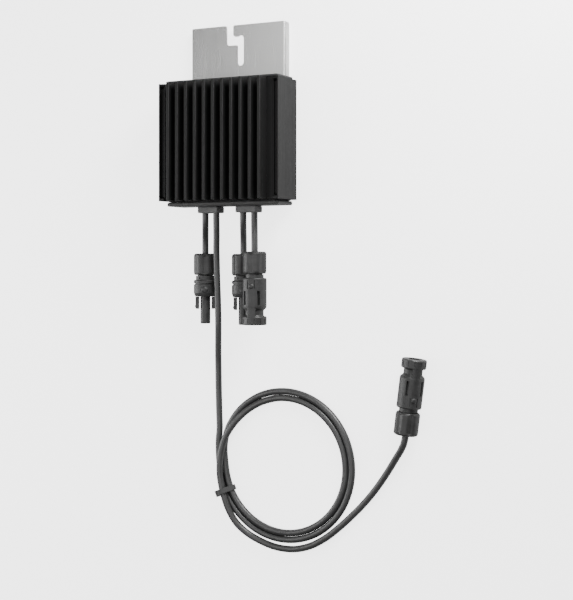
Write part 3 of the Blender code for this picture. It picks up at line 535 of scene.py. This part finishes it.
def between(profile, along):
    """The radius of a stepped profile at a distance along the axis."""
    for (a0, r0), (a1, r1) in zip(profile, profile[1:]):
        if a0 <= along <= a1:
            return r0 if a1 == a0 else r0 + (r1 - r0) * (along - a0) / (a1 - a0)
    return profile[-1][1]


def turn_apart(angle, centre):
    return abs((angle - centre + 180) % 360 - 180)


def sculpted(name, profile, bore, recesses, matrix, finish, shape=None, step=1.0, turns=5):
    """A tube whose outside follows a profile, with recesses sunk into it.

    A recess is (from, to, angle, half width in degrees, depth). shape(along, angle) adds to
    the radius. Grid lines are laid just inside and outside each recess, so its walls are
    steep and its corners sharp.
    """
    wall, wall_turn = 0.12, 0.8
    lines = {round(a, 3) for a, _ in profile}
    first, last = profile[0][0], profile[-1][0]
    count = max(2, round((last - first) / step))
    lines |= {round(first + (last - first) * i / count, 3) for i in range(count + 1)}
    angles = {float(a) for a in range(0, 360, turns)}
    for low, high, centre, half, _ in recesses:
        lines |= {round(v, 3) for v in (low, low + wall, high - wall, high)}
        for edge in (-half, -half + wall_turn, half - wall_turn, half):
            angles.add(round((centre + edge) % 360, 3))
    lines = sorted(v for v in lines if first <= v <= last)
    angles = sorted(angles)

    def radius(along, angle):
        value = between(profile, along) + (shape(along, angle) if shape else 0.0)
        for low, high, centre, half, depth in recesses:
            inside = low + wall / 2 < along < high - wall / 2
            if inside and turn_apart(angle, centre) < half - wall_turn / 2:
                value -= depth
        return value

    rings = [[(radius(along, angle), angle, along) for angle in angles] for along in lines]
    rings += [[(r, angle, along) for angle in angles] for along, r in bore]
    mesh = bpy.data.meshes.new(name)
    shaper = bmesh.new()
    grid = [[shaper.verts.new((r * math.sin(math.radians(angle)),
                               r * math.cos(math.radians(angle)), along))
             for r, angle, along in ring] for ring in rings]
    for ring, following in zip(grid, grid[1:] + grid[:1]):
        for i in range(len(angles)):
            j = (i + 1) % len(angles)
            shaper.faces.new((ring[i], following[i], following[j], ring[j]))
    bmesh.ops.recalc_face_normals(shaper, faces=shaper.faces)
    shaper.to_mesh(mesh)
    shaper.free()
    mesh.transform(matrix)
    mesh.shade_smooth()
    mesh.set_sharp_from_angle(angle=math.radians(28))
    mesh.materials.append(finish)
    made = bpy.data.objects.new(name, mesh)
    bpy.context.scene.collection.objects.link(made)
    return made


def stepped(points):
    """Moves the second of two points at one distance a little on, for a steep step."""
    made = [points[0]]
    for along, radius in points[1:]:
        made.append((along + 0.08 if along <= made[-1][0] else along, radius))
    return made


def nut_shape(along, angle):
    """Six broad flutes that run out short of the nut's ends."""
    end = min(1.0, max(0.0, (along - 1.2) / 1.6)) * min(1.0, max(0.0, (19.4 - along) / 1.0))
    wave = 0.5 + 0.5 * math.cos(math.radians(6 * angle))
    return -1.0 * end * wave ** 2.2


def make_nut(name, matrix, finish):
    profile = stepped([(0.0, 8.9), (0.5, 9.9), (1.6, 10.7), (2.4, 10.8), (17.6, 10.8),
                       (18.9, 10.5), (19.6, 9.9), (20.0, 9.2)])
    bore = [(20.0, 7.7), (6.8, 7.7), (3.4, 3.7), (3.4, 3.4), (0.0, 3.4)]
    nut = sculpted(name + "_nut_moulding", profile, bore, [], matrix, finish, nut_shape, 0.9, 4)
    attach(nut, name + "_nut_body")
    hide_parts(name + "_nut")


def dome(name, matrix, along, radius, sink, height, finish, angle=0.0):
    """A low round button on a connector's side."""
    segments, rings = 24, 6
    shaper = bmesh.new()
    grid = []
    for i in range(rings):
        turn = math.pi / 2 * i / rings
        grid.append([shaper.verts.new((radius * math.cos(turn) * math.cos(math.tau * k / segments),
                                       height * math.sin(turn),
                                       radius * math.cos(turn) * math.sin(math.tau * k / segments)))
                     for k in range(segments)])
    foot = [shaper.verts.new((radius * math.cos(math.tau * k / segments), -1.6,
                              radius * math.sin(math.tau * k / segments)))
            for k in range(segments)]
    for low, high in zip([foot, *grid], grid):
        for k in range(segments):
            n = (k + 1) % segments
            shaper.faces.new((low[k], low[n], high[n], high[k]))
    shaper.faces.new(grid[-1])
    shaper.faces.new(foot)
    bmesh.ops.recalc_face_normals(shaper, faces=shaper.faces)
    mesh = bpy.data.meshes.new(name)
    shaper.to_mesh(mesh)
    shaper.free()
    turn = Matrix.Rotation(math.radians(-angle), 4, "Z")
    mesh.transform(matrix @ turn @ Matrix.Translation((0.0, sink, along)))
    mesh.shade_smooth()
    mesh.set_sharp_from_angle(angle=math.radians(50))
    mesh.materials.append(finish)
    made = bpy.data.objects.new(name, mesh)
    bpy.context.scene.collection.objects.link(made)
    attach(made, "device")


def make_plug(name, place, finish):
    matrix = connector_matrix(*place)
    make_nut(name, matrix, finish)
    profile = stepped([(9.6, 7.2), (20.6, 7.2), (20.6, 8.9), (24.4, 8.9), (24.6, 10.2),
                       (25.4, 10.8), (27.4, 10.8), (27.6, 9.7), (28.5, 9.7), (28.7, 10.8),
                       (36.6, 10.8), (39.2, 9.9), (39.8, 9.3), (39.8, 4.6), (64.2, 4.6),
                       (65.0, 4.1)])
    bore = [(65.0, 2.5), (24.0, 2.5), (22.0, 5.8), (9.6, 5.8)]
    recesses = [(21.4, 23.6, angle, 8.0, 0.7) for angle in range(30, 390, 60)]
    body = sculpted(name + "_body_moulding", profile, bore, recesses, matrix, finish)
    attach(body, "device")
    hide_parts(name + "_body")
    for index, angle in enumerate((0.0, 180.0)):
        dome(f"{name}_thumb_pad_{index + 1}", matrix, 33.4, 3.2, 10.35, 1.3, finish, angle)


def tongue_rise(profile, along, angle):
    """Fills the neck level with the shell under the two tongues that reach the end collar."""
    if not 49.4 < along < 59.0:
        return 0.0
    apart = min(turn_apart(angle, 0.0), turn_apart(angle, 180.0))
    share = min(1.0, max(0.0, (25.0 - apart) / 3.0))
    return share * max(0.0, 10.6 - between(profile, along))


def make_socket(name, place, finish):
    matrix = connector_matrix(*place)
    make_nut(name, matrix, finish)
    profile = stepped([(9.6, 7.2), (20.6, 7.2), (20.6, 8.2), (23.6, 8.2), (23.8, 10.2),
                       (24.8, 10.9), (49.4, 10.9), (50.8, 10.5), (51.8, 9.6), (52.4, 8.7),
                       (53.4, 8.2), (57.2, 8.2), (58.2, 8.8), (58.4, 10.4), (59.2, 10.9),
                       (65.4, 10.9), (66.2, 10.3)])
    bore = [(66.2, 5.3), (40.0, 5.3), (40.0, 2.5), (24.0, 2.5), (22.0, 5.8), (9.6, 5.8)]
    recesses = []
    for facing in (0.0, 180.0):
        for side in (-1, 1):
            recesses.append((35.4, 48.0, facing + side * 36.6, 7.0, 2.6))
            recesses.append((25.8, 33.6, facing + side * 17.0, 2.4, 1.0))
    recesses += [(60.6, 64.6, angle, 3.0, 0.4) for angle in range(15, 375, 30)]
    body = sculpted(name + "_body_moulding", profile, bore, recesses, matrix, finish,
                    lambda along, angle: tongue_rise(profile, along, angle))
    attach(body, "device")
    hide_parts(name + "_body")
    for index, angle in enumerate((0.0, 180.0)):
        dome(f"{name}_release_pad_{index + 1}", matrix, 31.2, 2.6, 10.5, 1.2, finish, angle)


# ---------------------------------------------------------------- device details

def rounded_loop(x_low, x_high, y_low, y_high, radius, steps=5):
    corners = [(x_high - radius, y_low + radius, -90), (x_high - radius, y_high - radius, 0),
               (x_low + radius, y_high - radius, 90), (x_low + radius, y_low + radius, 180)]
    return [(x + radius * math.cos(math.radians(start + 90 * i / steps)),
             y + radius * math.sin(math.radians(start + 90 * i / steps)))
            for x, y, start in corners for i in range(steps + 1)]


def stamped_frame(finish):
    """The faint embossed rectangle on the bracket's plate."""
    plate_z = 7.3
    rise = 0.16
    loops = [rounded_loop(18.4, 39.1, 44.5, 67.0, 2.0), rounded_loop(18.8, 38.7, 44.9, 66.6, 1.6)]
    curve = bpy.data.curves.new("stamped_frame_outline", "CURVE")
    curve.dimensions = "2D"
    curve.fill_mode = "BOTH"
    curve.extrude = rise * MM
    for loop in loops:
        spline = curve.splines.new("POLY")
        spline.points.add(len(loop) - 1)
        for point, (x, y) in zip(spline.points, loop):
            point.co = (x * MM, y * MM, 0.0, 1.0)
        spline.use_cyclic_u = True
    helper = bpy.data.objects.new("stamped_frame_outline", curve)
    bpy.context.scene.collection.objects.link(helper)
    bpy.context.view_layer.update()
    graph = bpy.context.evaluated_depsgraph_get()
    mesh = bpy.data.meshes.new_from_object(helper.evaluated_get(graph))
    bpy.data.objects.remove(helper, do_unlink=True)
    mesh.name = "stamped_frame"
    mesh.transform(Matrix.Translation((0.0, 0.0, plate_z * MM)))
    mesh.materials.clear()
    mesh.materials.append(finish)
    made = bpy.data.objects.new("stamped_frame", mesh)
    bpy.context.scene.collection.objects.link(made)
    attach(made, "device")


make_camera()
make_studio()
make_floor()
FINISHES = make_finishes()
dress_cad_nodes(FINISHES)
make_plug("left_plug", LEFT_PLUG, FINISHES["connector_plastic"])
make_plug("inner_plug", INNER_PLUG, FINISHES["connector_plastic"])
make_socket("outer_socket", OUTER_SOCKET, FINISHES["connector_plastic"])
make_socket("far_socket", FAR_SOCKET, FINISHES["connector_plastic"])
make_leads(FINISHES["cable_jacket"])
stamped_frame(FINISHES["bright_sheet_steel"])
soften_edges()
